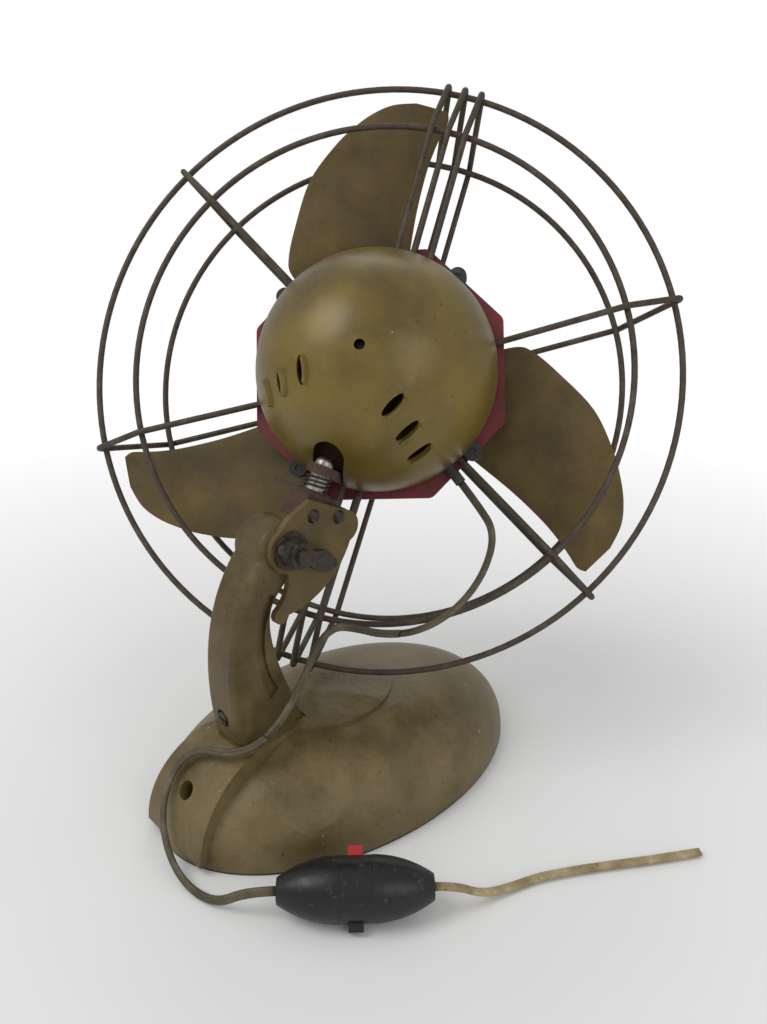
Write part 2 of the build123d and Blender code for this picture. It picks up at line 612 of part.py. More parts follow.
with BuildPart() as bush_screws:
    with BuildSketch(head.offset(PLATE_BACK - BUSH_LONG + 0.6)):
        with PolarLocations(BUSH_CIRCLE, 4, start_angle=BUSH_ANGLE):
            Circle(BUSH_SCREW_RADIUS)
    extrude(amount=BUSH_LONG - 0.6 + CAGE_PLATE_THICK)
    with BuildSketch(head.offset(PLATE_FRONT)):
        with PolarLocations(BUSH_CIRCLE, 4, start_angle=BUSH_ANGLE):
            Circle(2.6)
    extrude(amount=1.0, taper=20)
save(bush_screws.part, "bush_screws")

GLAND_ANGLE, GLAND_START, GLAND_END, GLAND_Z, GLAND_RADIUS = 211.5, 54.0, 67.0, 3.1, 2.6
gland_face = radial_plane(GLAND_ANGLE, GLAND_Z)
gland_start = Plane(origin=around(GLAND_ANGLE, GLAND_START, GLAND_Z), x_dir=head.z_dir, z_dir=gland_face.x_dir)
with BuildPart() as cord_gland:
    with BuildSketch(gland_start):
        Circle(GLAND_RADIUS)
    extrude(amount=GLAND_END - GLAND_START)
save(cord_gland.part, "cord_gland")

# ---- cage ---------------------------------------------------------------------------------
for label, radius, height in (
    ("outer_ring", RING_RADIUS, RING_Z),
    ("rear_ring", SIDE_RING_RADIUS, REAR_RING_Z),
    ("front_ring", SIDE_RING_RADIUS, FRONT_RING_Z),
):
    with BuildPart() as ring:
        with BuildSketch(section):
            with Locations((radius, height)):
                Circle(WIRE / 2)
        revolve(axis=head_axis)
    save(ring.part, label)

HUG = WIRE + WELD_GAP
LEG_START, LEG_Z = 52.8, PLATE_BACK - WIRE / 2 - 0.05
NOSE_END, NOSE_CROWN = 20.0, 5.4


def offset_chain(points, distance):
    """The chain moved to its right-hand side, with its corners where the moved lines meet."""
    moved = []
    for (x0, y0), (x1, y1) in zip(points, points[1:]):
        length = hypot(x1 - x0, y1 - y0)
        nx, ny = (y1 - y0) / length, -(x1 - x0) / length
        moved.append(((x0 + nx * distance, y0 + ny * distance), (x1 - x0, y1 - y0)))
    chain = [moved[0][0]]
    for (p, d), (q, e) in zip(moved, moved[1:]):
        cross = d[0] * e[1] - d[1] * e[0]
        k = ((q[0] - p[0]) * e[1] - (q[1] - p[1]) * e[0]) / cross
        chain.append((p[0] + d[0] * k, p[1] + d[1] * k))
    (p, d) = moved[-1]
    chain.append((p[0] + d[0], p[1] + d[1]))
    return chain


def hairpin(angle, shift):
    """One bent wire: from the cage plate over the rear ring, round the outer ring, to the nose."""
    def reach(radius):
        return sqrt(radius**2 - shift**2)

    rings = [
        (reach(LEG_START), LEG_Z + HUG), (reach(SIDE_RING_RADIUS), REAR_RING_Z),
        (reach(RING_RADIUS), RING_Z), (reach(SIDE_RING_RADIUS), FRONT_RING_Z),
        (reach(NOSE_END), NOSE_Z - WIRE / 2 - 0.1 - HUG),
    ]
    plane = radial_plane(angle)
    plane = Plane(origin=plane.origin + plane.z_dir * shift, x_dir=plane.x_dir, z_dir=plane.z_dir)
    with BuildPart() as wire:
        with BuildLine(plane):
            path = FilletPolyline(*offset_chain(rings, HUG), radius=HUG)
        with BuildSketch(Plane(origin=path @ 0, z_dir=path % 0)):
            Circle(WIRE / 2)
        sweep(path=path)
    return wire.part


spoke_angles = [90 - CAGE_TURN + 60 * k for k in range(6)]
singles = [hairpin(a, 0) for a in spoke_angles if round(a - spoke_angles[0]) % 180]
triples = [hairpin(a, side * TRIPLE_PITCH) for a in spoke_angles[::3] for side in (-1, 0, 1)]
save(Compound(children=singles), "single_spokes")
save(Compound(children=triples), "triple_spokes")

with BuildPart() as nose_cap:
    with BuildSketch(section):
        with BuildLine():
            n1 = Line((0, NOSE_Z), (NOSE_RADIUS, NOSE_Z))
            n2 = Line(n1 @ 1, (NOSE_RADIUS, NOSE_Z + 1.2))
            crown = (NOSE_RADIUS**2 + NOSE_CROWN**2) / (2 * NOSE_CROWN)
            n3 = RadiusArc(n2 @ 1, (0, NOSE_Z + 1.2 + NOSE_CROWN), -crown)
            Line(n3 @ 1, n1 @ 0)
        make_face()
    revolve(axis=head_axis)
save(nose_cap.part, "nose_cap")

# ---- rotor and blades ---------------------------------------------------------------------
with BuildPart() as shaft:
    with BuildSketch(head.offset(SHAFT_BACK)):
        Circle(SHAFT_RADIUS)
    extrude(amount=SHAFT_FRONT - SHAFT_BACK)
save(shaft.part, "shaft")

with BuildPart() as rotor_core:
    with BuildSketch(head.offset(-STATOR_LONG + 11.5)):
        Circle(ROTOR_RADIUS)
        Circle(SHAFT_RADIUS, mode=Mode.SUBTRACT)
    extrude(amount=STATOR_LONG - 12)
save(rotor_core.part, "rotor_core")

# each row of the blade: radius, trailing and leading edge across, their places along the axis,
# and how far the sheet bellies backwards between them
BLADE_ROWS = (
    (18.0, -1.0, 27.0, 30.4, 19.4, 0.6),
    (28.0, 0.0, 42.0, 30.0, 14.0, 0.8),
    (38.0, 1.5, 56.0, 29.6, 8.8, 1.2),
    (46.0, 2.5, 60.0, 29.0, 8.5, 1.6),
    (62.0, 4.0, 61.0, 27.0, 8.4, 2.6),
    (86.0, 6.0, 60.0, 23.5, 8.4, 3.0),
    (106.0, 6.0, 52.5, 20.0, 8.8, 2.4),
    (118.0, 4.8, 45.5, 18.4, 9.6, 1.6),
    (127.0, 3.0, 38.5, 17.0, 10.8, 0.8),
    (134.0, 1.4, 30.0, 16.2, 12.2, 0.4),
    (138.0, 3.0, 19.0, 15.8, 13.6, 0.2),
)
ROOT_BACK, ROOT_LEAD, ROOT_HIGH, ROOT_LOW = BLADE_ROWS[2][1:5]
ARM_PITCH = atan2(ROOT_HIGH - ROOT_LOW, ROOT_LEAD - ROOT_BACK)
ARM_MID, ARM_THICK, ARM_WIDE = 12.0, 2.0, 18.0
ARM_IN, ARM_OUT = 8.0, 43.0
RIVET_RADII, BLADE_RIVET = (25.0, 36.0), 1.6


def blade_plane(angle, radius):
    """Square to the radius: local X runs against the clock seen from behind, Y along the axis."""
    a = radians(angle)
    out = head.x_dir * cos(a) + head.y_dir * sin(a)
    across = (head.x_dir * -sin(a) + head.y_dir * cos(a)) * -1
    return Plane(origin=around(angle, radius), x_dir=across, z_dir=across.cross(head.z_dir)), out


def blade_section(angle, row):
    radius, t1, t2, z1, z2, belly = row
    half = BLADE_THICK / 2
    length = hypot(t2 - t1, z2 - z1)
    nx, ny = (z1 - z2) / length * half, (t2 - t1) / length * half
    mid = ((t1 + t2) / 2, (z1 + z2) / 2 - belly)
    plane, _ = blade_plane(angle, radius)
    with BuildSketch(plane) as face:
        with BuildLine():
            upper = ThreePointArc((t1 + nx, z1 + ny), (mid[0] + nx, mid[1] + ny), (t2 + nx, z2 + ny))
            tip = Line(upper @ 1, (t2 - nx, z2 - ny))
            lower = ThreePointArc(tip @ 1, (mid[0] - nx, mid[1] - ny), (t1 - nx, z1 - ny))
            Line(lower @ 1, upper @ 0)
        make_face()
    return face.sketch.faces()[0]


def arm_plane(angle):
    """Plane of a spider arm's back face: X outwards, Y across, Z forwards, at the blade's pitch."""
    base, out = blade_plane(angle, 0)
    across = base.x_dir * cos(ARM_PITCH) - head.z_dir * sin(ARM_PITCH)
    normal = out.cross(across)
    if normal.dot(head.z_dir) < 0:
        normal = normal * -1
    middle_z = ROOT_HIGH - (ARM_MID - ROOT_BACK) * tan(ARM_PITCH) + 0.15
    origin = head.origin + base.x_dir * ARM_MID + head.z_dir * middle_z
    return Plane(origin=origin + normal * (BLADE_THICK / 2 + 0.35), x_dir=out, z_dir=normal)


blade_angles = [BLADE_PHASE + 360 / BLADE_COUNT * k for k in range(BLADE_COUNT)]
for number, angle in enumerate(blade_angles, start=1):
    rows = [blade_section(180 - angle, row) for row in BLADE_ROWS]
    with BuildPart() as blade:
        loft(rows, ruled=True)
        with BuildSketch(arm_plane(180 - angle).offset(-6)):
            with Locations(*[(r, 0) for r in RIVET_RADII]):
                Circle(BLADE_RIVET + RUN_FIT)
        extrude(amount=12, mode=Mode.SUBTRACT)
    save(blade.part, f"blade_{number}")

with BuildPart() as blade_hub:
    with BuildSketch(head.offset(HUB_BACK)):
        Circle(HUB_RADIUS)
    extrude(amount=HUB_LONG)
    for angle in blade_angles:
        with BuildSketch(arm_plane(180 - angle)):
            with Locations(((ARM_IN + ARM_OUT) / 2, 0)):
                Rectangle(ARM_OUT - ARM_IN, ARM_WIDE)
        extrude(amount=ARM_THICK)
    with BuildSketch(head.offset(HUB_BACK - 1)):
        Circle(SHAFT_RADIUS)
    extrude(amount=HUB_LONG + 2, mode=Mode.SUBTRACT)
    for angle in blade_angles:
        with BuildSketch(arm_plane(180 - angle).offset(-1)):
            with Locations(*[(r, 0) for r in RIVET_RADII]):
                Circle(BLADE_RIVET + RUN_FIT)
        extrude(amount=ARM_THICK + 2, mode=Mode.SUBTRACT)
save(blade_hub.part, "blade_hub")

with BuildPart() as blade_rivets:
    for angle in blade_angles:
        back = arm_plane(180 - angle).offset(-BLADE_THICK - 0.8)
        with BuildSketch(back):
            with Locations(*[(r, 0) for r in RIVET_RADII]):
                Circle(BLADE_RIVET)
        extrude(amount=BLADE_THICK + 0.8 + ARM_THICK + 0.1)
        with BuildSketch(arm_plane(180 - angle).offset(ARM_THICK + 0.1)):
            with Locations(*[(r, 0) for r in RIVET_RADII]):
                Circle(2.9)
        extrude(amount=1.1, taper=30)
save(blade_rivets.part, "blade_rivets")

# ---- cord switch --------------------------------------------------------------------------
SWITCH_X, SWITCH_Y = 82.5, -61.7
switch_dir = Vector(0.646, 0.763, 0).normalized()
switch_cross = Vector(switch_dir.Y, -switch_dir.X, 0)
switch_mid = Vector(SWITCH_X, SWITCH_Y, SWITCH_RADIUS)
barrel = Plane(origin=switch_mid, x_dir=switch_cross, z_dir=switch_dir)
barrel_section = Plane(origin=switch_mid, x_dir=switch_cross, z_dir=(0, 0, 1))
barrel_axis = Axis(switch_mid, switch_dir)
BAR_WIDE, BAR_HIGH = 6.0, 4.4
BAR_NEAR, BAR_FAR, RED_CAP, BAR_LEAN = 3.0, 3.4, 4.6, 45.0
END_RADIUS, END_FACE = 5.2, 31.75

for label, side in (("switch_cap_foot", -1), ("switch_cap_mains", 1)):
    with BuildPart() as cap:
        with BuildSketch(barrel_section):
            with BuildLine():
                c1 = Line((0, side * (SWITCH_BAND / 2 + 0.02)), (SWITCH_RADIUS, side * (SWITCH_BAND / 2 + 0.02)))
                c2 = ThreePointArc(c1 @ 1, (SWITCH_RADIUS - 2.0, side * 19.5), (END_RADIUS, side * END_FACE))
                c3 = Line(c2 @ 1, (0, side * END_FACE))
                Line(c3 @ 1, c1 @ 0)
            make_face()
        revolve(axis=barrel_axis)
    save(cap.part, label)

lean = radians(BAR_LEAN)
bar_dir = switch_cross * cos(lean) - Vector(0, 0, sin(lean))
bar_plane = Plane(origin=switch_mid, x_dir=switch_dir, z_dir=bar_dir)
with BuildPart() as switch_band:
    with BuildSketch(barrel.offset(-SWITCH_BAND / 2)):
        Circle(SWITCH_RADIUS - 0.15)
    extrude(amount=SWITCH_BAND)
    with BuildSketch(bar_plane.offset(-20)):
        Rectangle(BAR_WIDE + 2 * RUN_FIT, BAR_HIGH + 2 * RUN_FIT)
    extrude(amount=40, mode=Mode.SUBTRACT)
save(switch_band.part, "switch_band")

with BuildPart() as push_bar:
    with BuildSketch(bar_plane.offset(-SWITCH_RADIUS - BAR_FAR + RED_CAP)):
        Rectangle(BAR_WIDE, BAR_HIGH)
    extrude(amount=2 * SWITCH_RADIUS + BAR_FAR + BAR_NEAR - RED_CAP)
save(push_bar.part, "push_bar")

with BuildPart() as push_bar_end:
    with BuildSketch(bar_plane.offset(-SWITCH_RADIUS - BAR_FAR)):
        Rectangle(BAR_WIDE, BAR_HIGH)
    extrude(amount=RED_CAP)
save(push_bar_end.part, "push_bar_end")

# ---- cords --------------------------------------------------------------------------------
gland_mouth = around(GLAND_ANGLE, GLAND_END, GLAND_Z)
gland_out = gland_face.x_dir
FLOOR_Z = CORD_DIA / 2 + 0.05
switch_in = switch_mid - switch_dir * END_FACE
switch_out = switch_mid + switch_dir * END_FACE

HEAD_LEAD = [
    gland_mouth, gland_mouth + gland_out * 13, Vector(47, 57, 124), Vector(51.4, 44.7, 107.5),
    Vector(47, 30.5, 92), Vector(36.5, 17, 82), Vector(25.5, 4.8, 80.8), Vector(16, -3, 83.3),
    Vector(10.3, -11, 85), Vector(11, -21, 81), Vector(15, -31, 73), Vector(19, -42, 64),
    Vector(21, -53, 55), Vector(19.5, -65, 48.5), Vector(11, -74.5, 45.5), Vector(0, -77.5, 44),
    Vector(-8, -83, 39.5), Vector(-9.5, -91, 31), Vector(-5, -98.5, 21), Vector(4, -103.5, 12),
    Vector(16, -106, 5.5), Vector(29, -105.5, FLOOR_Z), Vector(43, -102, FLOOR_Z + 1.5),
    switch_in - switch_dir * 12, switch_in,
]
LOOP_END, FOOT_START = 5, 12


def split_route(points, cuts):
    """The route in pieces that meet square, face to face, in the middle of the named runs."""
    pieces, start = [], [points[0]]
    last = 0
    for cut in cuts:
        middle = (points[cut] + points[cut + 1]) * 0.5
        pieces.append(start + points[last + 1:cut + 1] + [middle])
        start, last = [middle], cut
    pieces.append(start + points[last + 1:])
    return pieces


LEAD_UPPER, LEAD_MIDDLE, LEAD_LOWER = split_route(HEAD_LEAD, (LOOP_END, FOOT_START))
LEAD_MAINS = [
    switch_out, switch_out + switch_dir * 9, Vector(113, -19, 4.2),
    Vector(117, -6, FLOOR_Z), Vector(121, 7, FLOOR_Z), Vector(128, 20, FLOOR_Z),
    Vector(137, 35, FLOOR_Z), Vector(148, 52, FLOOR_Z), Vector(159.8, 72, FLOOR_Z),
]


def lead(points, label):
    radii = []
    for a, b, c in zip(points, points[1:], points[2:]):
        before, after = b - a, c - b
        turn = radians(before.get_angle(after))
        radii.append(0.45 * min(before.length, after.length) / tan(turn / 2))
    print(label, "radii", [round(r, 1) for r in radii])
    with BuildPart() as tube:
        with BuildLine():
            path = FilletPolyline(*points, radius=radii)
        with BuildSketch(Plane(origin=path @ 0, z_dir=path % 0)):
            Circle(CORD_DIA / 2)
        sweep(path=path)
    expected = pi * CORD_DIA**2 / 4 * path.length
    print(label, "length", round(path.length, 1), "volume ratio", round(tube.part.volume / expected, 4))
    save(tube.part, label)


lead(LEAD_UPPER, "lead_upper")
lead(LEAD_MIDDLE, "lead_middle")
lead(LEAD_LOWER, "lead_lower")
lead(LEAD_MAINS, "lead_mains")
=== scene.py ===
import json
import math

import bmesh
import bpy
from mathutils import Matrix, Vector


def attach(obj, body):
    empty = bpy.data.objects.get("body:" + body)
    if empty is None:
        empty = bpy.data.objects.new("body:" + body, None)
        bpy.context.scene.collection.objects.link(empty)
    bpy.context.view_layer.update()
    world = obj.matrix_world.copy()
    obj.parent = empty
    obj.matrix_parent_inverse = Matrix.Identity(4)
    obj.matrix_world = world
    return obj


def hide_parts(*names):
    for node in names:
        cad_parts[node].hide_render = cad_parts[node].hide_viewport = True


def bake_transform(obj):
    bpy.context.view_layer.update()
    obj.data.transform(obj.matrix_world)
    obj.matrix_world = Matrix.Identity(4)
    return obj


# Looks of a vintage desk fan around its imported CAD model.  Metres, in the row frame: +X right
# seen from behind, +Y the way the base points, +Z up, origin on the floor under the base.

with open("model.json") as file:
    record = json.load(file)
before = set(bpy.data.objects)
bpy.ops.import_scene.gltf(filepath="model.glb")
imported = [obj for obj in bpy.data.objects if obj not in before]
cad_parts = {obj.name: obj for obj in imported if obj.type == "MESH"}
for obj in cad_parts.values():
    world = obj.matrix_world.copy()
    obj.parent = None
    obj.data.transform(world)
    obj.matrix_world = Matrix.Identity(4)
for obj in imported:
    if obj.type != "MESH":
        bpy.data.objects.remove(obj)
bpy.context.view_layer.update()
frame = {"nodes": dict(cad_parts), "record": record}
MM = 0.001

# ---- places shared with the CAD --------------------------------------------------------------
TILT, TURN = math.radians(30.0), math.radians(36.0)
PIVOT = Vector((0, -37.0, 132.0)) * MM
STUD_FORWARD, HEAD_FORWARD, HEAD_RISE = 12 * MM, 34 * MM, 91.4 * MM
UP = Vector((0, math.sin(TILT), math.cos(TILT)))
LEVEL = Vector((0, math.cos(TILT), -math.sin(TILT)))
AIR = LEVEL * math.cos(TURN) - Vector((1, 0, 0)) * math.sin(TURN)
RIGHT = Vector((1, 0, 0)) * math.cos(TURN) + LEVEL * math.sin(TURN)
HEAD = PIVOT + LEVEL * STUD_FORWARD + AIR * HEAD_FORWARD + UP * HEAD_RISE
SWITCH_MID = Vector((82.5, -61.7, 13.0)) * MM
SWITCH_DIR = Vector((0.646, 0.763, 0)).normalized()
SWITCH_HALF = 31.75 * MM
CORD_DIA = 4.0 * MM


def head_point(seen_angle, radius, height):
    """A point of the head by its angle seen from behind, radius and place along the air's way."""
    a = math.radians(seen_angle)
    return HEAD + RIGHT * (radius * math.cos(a)) + UP * (radius * math.sin(a)) + AIR * height


# ---- shader helpers --------------------------------------------------------------------------
def shader(name):
    material = bpy.data.materials.new(name)
    material.use_nodes = True
    tree = material.node_tree
    principled = tree.nodes["Principled BSDF"]
    return material, tree, principled


def noise(tree, scale, detail=4.0, roughness=0.6):
    """Noise over the object's own space, in metres."""
    place = tree.nodes.new("ShaderNodeTexCoord")
    texture = tree.nodes.new("ShaderNodeTexNoise")
    texture.inputs["Scale"].default_value = scale
    texture.inputs["Detail"].default_value = detail
    texture.inputs["Roughness"].default_value = roughness
    tree.links.new(place.outputs["Object"], texture.inputs["Vector"])
    return texture.outputs["Fac"]


def ramp(tree, fac, stops):
    """Colour ramp: stops are (place, colour)."""
    node = tree.nodes.new("ShaderNodeValToRGB")
    band = node.color_ramp
    while len(band.elements) < len(stops):
        band.elements.new(0.5)
    for element, (place, colour) in zip(band.elements, stops):
        element.position = place
        element.color = (*colour, 1.0)
    tree.links.new(fac, node.inputs["Fac"])
    return node.outputs["Color"]


def level(tree, fac, low, high, bottom, top):
    """A grey value that runs from bottom to top as fac goes from low to high."""
    return ramp(tree, fac, [(low, (bottom,) * 3), (high, (top,) * 3)])


def mix(tree, fac, a, b):
    """Colour a where fac is 0 and b where it is 1; each is a tuple or a socket."""
    node = tree.nodes.new("ShaderNodeMix")
    node.data_type = "RGBA"
    tree.links.new(fac, node.inputs[0])
    for value, socket in ((a, node.inputs[6]), (b, node.inputs[7])):
        if isinstance(value, tuple):
            socket.default_value = (*value, 1.0)
        else:
            tree.links.new(value, socket)
    return node.outputs[2]


def combine(tree, operation, a, b):
    node = tree.nodes.new("ShaderNodeMath")
    node.operation = operation
    tree.links.new(a, node.inputs[0])
    tree.links.new(b, node.inputs[1])
    return node.outputs["Value"]


def whiten(tree, share, plain, white, output):
    """Sends the plain shader to the output, and the white one by its share."""
    node = tree.nodes.new("ShaderNodeMixShader")
    tree.links.new(share, node.inputs[0])
    tree.links.new(plain, node.inputs[1])
    tree.links.new(white, node.inputs[2])
    tree.links.new(node.outputs["Shader"], tree.nodes[output].inputs["Surface"])


def bump(tree, principled, heights, distance):
    """Adds bumps one over another: heights are (value, strength)."""
    last = None
    for height, strength in heights:
        node = tree.nodes.new("ShaderNodeBump")
        node.inputs["Strength"].default_value = strength
        node.inputs["Distance"].default_value = distance
        tree.links.new(height, node.inputs["Height"])
        if last is not None:
            tree.links.new(last, node.inputs["Normal"])
        last = node.outputs["Normal"]
    tree.links.new(last, principled.inputs["Normal"])


# ---- materials -------------------------------------------------------------------------------
PATCH_STOPS = (0.32, 0.5, 0.68)          # where old paint is dark, middling and light
PIT_SHARE = 0.35                         # darkness of the pits against the dark paint
PAINT_BUMP, METAL_BUMP, MOULD_BUMP = 0.6 * MM, 0.4 * MM, 0.3 * MM
RUST_EDGE_LOW, RUST_EDGE_HIGH, RUST_METALLIC = 0.06, 0.08, 0.05


def paint(name, dark, mid, light, rough, patch, speck, metallic=0.0, chips=None, hammer=0.0,
          dust=None):
    """Old paint: broad patches, fine specks, roughness that varies, and worn spots."""
    material, tree, principled = shader(name)
    broad = noise(tree, patch, 5.0, 0.62)
    fine = noise(tree, speck, 3.0, 0.7)
    colour = ramp(tree, broad, list(zip(PATCH_STOPS, (dark, mid, light))))
    grain = level(tree, fine, 0.42, 0.6, 0.0, 0.16)
    colour = mix(tree, grain, colour, light)
    if dust is not None:
        veil = level(tree, noise(tree, 60.0, 8.0, 0.7), 0.45, 0.75, 0.0, 0.55)
        colour = mix(tree, veil, colour, dust)
    if chips is not None:
        spots = level(tree, noise(tree, 160.0, 6.0, 0.55), 0.72, 0.74, 0.0, 0.9)
        colour = mix(tree, spots, colour, chips)
        rub = level(tree, noise(tree, 75.0, 9.0, 0.75), 0.58, 0.8, 0.0, 0.35)
        colour = mix(tree, rub, colour, chips)
        pits = level(tree, noise(tree, 380.0, 3.0, 0.6), 0.27, 0.33, 0.75, 0.0)
        colour = mix(tree, pits, colour, tuple(c * PIT_SHARE for c in dark))
    tree.links.new(colour, principled.inputs["Base Color"])
    tree.links.new(level(tree, broad, 0.3, 0.7, *rough), principled.inputs["Roughness"])
    principled.inputs["Metallic"].default_value = metallic
    heights = [(fine, 0.12)]
    if hammer:
        heights.append((noise(tree, 330.0, 1.0, 0.4), hammer))
    bump(tree, principled, heights, PAINT_BUMP)
    return material


def metal(name, dark, light, rough, metallic, rust=None, scale=120.0, rust_from=0.5):
    """Bare metal with staining, and rust where the noise is high."""
    material, tree, principled = shader(name)
    stain = noise(tree, scale, 6.0, 0.65)
    colour = ramp(tree, stain, [(0.35, dark), (0.65, light)])
    principled.inputs["Metallic"].default_value = metallic
    if rust is not None:
        cover = noise(tree, scale * 0.6, 8.0, 0.7)
        low, high = rust_from - RUST_EDGE_LOW, rust_from + RUST_EDGE_HIGH
        colour = mix(tree, level(tree, cover, low, high, 0.0, 1.0), colour, rust)
        tree.links.new(level(tree, cover, low, high, metallic, RUST_METALLIC),
                       principled.inputs["Metallic"])
    tree.links.new(colour, principled.inputs["Base Color"])
    tree.links.new(level(tree, stain, 0.3, 0.7, *rough), principled.inputs["Roughness"])
    bump(tree, principled, [(noise(tree, 1500.0, 4.0, 0.7), 0.25), (stain, 0.15)], METAL_BUMP)
    return material


def moulding(name, base, scuff, rough, amount, scale=220.0):
    """Plastic or rubber with scuffs that are paler and duller."""
    material, tree, principled = shader(name)
    wear = noise(tree, scale, 7.0, 0.65)
    mask = level(tree, wear, amount, amount + 0.08, 0.0, 0.75)
    tree.links.new(mix(tree, mask, base, scuff), principled.inputs["Base Color"])
    tree.links.new(level(tree, wear, 0.35, 0.7, *rough), principled.inputs["Roughness"])
    bump(tree, principled, [(wear, 0.12), (noise(tree, 2200.0, 2.0), 0.06)], MOULD_BUMP)
    return material


def lead_material(name, dark, mid, pale, soot):
    """Old flat lead: grimy patches and small sooty marks."""
    material, tree, principled = shader(name)
    grime = noise(tree, 90.0, 6.0, 0.65)
    colour = ramp(tree, grime, [(0.32, dark), (0.5, mid), (0.66, pale)])
    marks = level(tree, noise(tree, 420.0, 5.0, 0.6), 0.6, 0.7, 0.0, 0.7)
    tree.links.new(mix(tree, marks, colour, soot), principled.inputs["Base Color"])
    tree.links.new(level(tree, grime, 0.3, 0.7, 0.45, 0.7), principled.inputs["Roughness"])
    bump(tree, principled, [(noise(tree, 1400.0, 3.0), 0.15)], MOULD_BUMP)
    return material


OLIVE = ((0.062, 0.038, 0.008), (0.102, 0.066, 0.016), (0.155, 0.108, 0.034))
MATERIALS = {
    "base_paint": paint(
        "base_paint", (0.078, 0.054, 0.015), (0.140, 0.100, 0.034), (0.200, 0.152, 0.062),
        rough=(0.34, 0.55), patch=34.0, speck=700.0, metallic=0.1, chips=(0.30, 0.26, 0.17), hammer=0.5,
    ),
    "arm_paint": paint(
        "arm_paint", (0.052, 0.033, 0.007), (0.088, 0.058, 0.013), (0.150, 0.108, 0.036),
        rough=(0.38, 0.6), patch=50.0, speck=900.0, metallic=0.1, chips=(0.24, 0.19, 0.11), hammer=0.25,
    ),
    "dome_paint": paint(
        "dome_paint", (0.082, 0.056, 0.014), (0.158, 0.108, 0.022), (0.215, 0.150, 0.020),
        rough=(0.26, 0.42), patch=18.0, speck=1300.0, metallic=0.15, chips=(0.34, 0.30, 0.20),
    ),
    "blade_paint": paint(
        "blade_paint", *OLIVE, rough=(0.62, 0.85), patch=36.0, speck=1100.0, dust=(0.135, 0.096, 0.036),
    ),
    "bracket_paint": paint(
        "bracket_paint", *OLIVE, rough=(0.5, 0.75), patch=45.0, speck=1000.0, metallic=0.1,
        chips=(0.06, 0.04, 0.025), dust=(0.135, 0.098, 0.040),
    ),
    "red_paint": paint(
        "red_paint", (0.080, 0.010, 0.012), (0.150, 0.012, 0.018), (0.205, 0.024, 0.030),
        rough=(0.35, 0.6), patch=40.0, speck=900.0, chips=(0.07, 0.045, 0.035),
    ),
    "rusty_iron": metal(
        "rusty_iron", (0.040, 0.026, 0.016), (0.085, 0.055, 0.034), rough=(0.6, 0.85), metallic=0.4,
        rust=(0.070, 0.034, 0.016), scale=260.0, rust_from=0.46,
    ),
    "cage_wire": metal(
        "cage_wire", (0.050, 0.038, 0.026), (0.135, 0.112, 0.080), rough=(0.45, 0.68), metallic=0.6,
        rust=(0.058, 0.036, 0.022), scale=170.0, rust_from=0.5,
    ),
    "dark_steel": metal(
        "dark_steel", (0.028, 0.022, 0.016), (0.080, 0.068, 0.052), rough=(0.4, 0.65), metallic=0.6,
        rust=(0.050, 0.030, 0.018), scale=320.0, rust_from=0.56,
    ),
    "bright_steel": metal(
        "bright_steel", (0.28, 0.26, 0.22), (0.50, 0.47, 0.42), rough=(0.2, 0.38), metallic=0.95,
        rust=(0.12, 0.075, 0.04), scale=240.0, rust_from=0.6,
    ),
    "lamination": metal(
        "lamination", (0.07, 0.065, 0.06), (0.15, 0.14, 0.13), rough=(0.45, 0.65), metallic=0.7,
    ),
    "copper": metal("copper", (0.30, 0.13, 0.06), (0.50, 0.25, 0.12), rough=(0.3, 0.5), metallic=0.8),
    "bronze": metal("bronze", (0.28, 0.19, 0.09), (0.42, 0.31, 0.17), rough=(0.35, 0.5), metallic=0.9),
    "rubber": moulding(
        "rubber", (0.024, 0.025, 0.023), (0.070, 0.066, 0.056), rough=(0.55, 0.8), amount=0.5,
    ),
    "bakelite": moulding(
        "bakelite", (0.004, 0.005, 0.004), (0.070, 0.072, 0.050), rough=(0.30, 0.5), amount=0.6,
        scale=320.0,
    ),
    "red_plastic": moulding(
        "red_plastic", (0.46, 0.016, 0.014), (0.50, 0.12, 0.10), rough=(0.35, 0.6), amount=0.66,
    ),
}
GREY_LEAD = lead_material(
    "lead_grey", (0.050, 0.038, 0.018), (0.088, 0.069, 0.036), (0.165, 0.135, 0.080),
    (0.030, 0.022, 0.012),
)
CREAM_LEAD = lead_material(
    "lead_cream", (0.235, 0.170, 0.072), (0.365, 0.285, 0.150), (0.520, 0.430, 0.270),
    (0.120, 0.082, 0.036),
)

slots = {part["node"]: part["material_slot"] for part in frame["record"]["subparts"]}
for name, node in frame["nodes"].items():
    if slots[name] in MATERIALS:
        node.data.materials.clear()
        node.data.materials.append(MATERIALS[slots[name]])


# ---- blades: one smooth pressed sheet each ---------------------------------------------------
# radius, trailing and leading edge across, their places along the axis, belly (mm, as in the CAD)
BLADE_ROWS = (
    (18.0, -1.0, 27.0, 30.4, 19.4, 0.6),
    (28.0, 0.0, 42.0, 30.0, 14.0, 0.8),
    (38.0, 1.5, 56.0, 29.6, 8.8, 1.2),
    (46.0, 2.5, 60.0, 29.0, 8.5, 1.6),
    (62.0, 4.0, 61.0, 27.0, 8.4, 2.6),
    (86.0, 6.0, 60.0, 23.5, 8.4, 3.0),
    (106.0, 6.0, 52.5, 20.0, 8.8, 2.4),
    (118.0, 4.8, 45.5, 18.4, 9.6, 1.6),
    (127.0, 3.0, 38.5, 17.0, 10.8, 0.8),
    (134.0, 1.4, 30.0, 16.2, 12.2, 0.4),
    (138.0, 3.0, 19.0, 15.8, 13.6, 0.2),
)
BLADE_PHASE, BLADE_COUNT, BLADE_THICK = 96.5, 3, 1.2
SHEET_SHARE = 0.9                        # share of the CAD's thickness
EDGE_WIDTH, EDGE_SEGMENTS = 0.35 * MM, 2
ROWS_BETWEEN, ACROSS = 5, 20


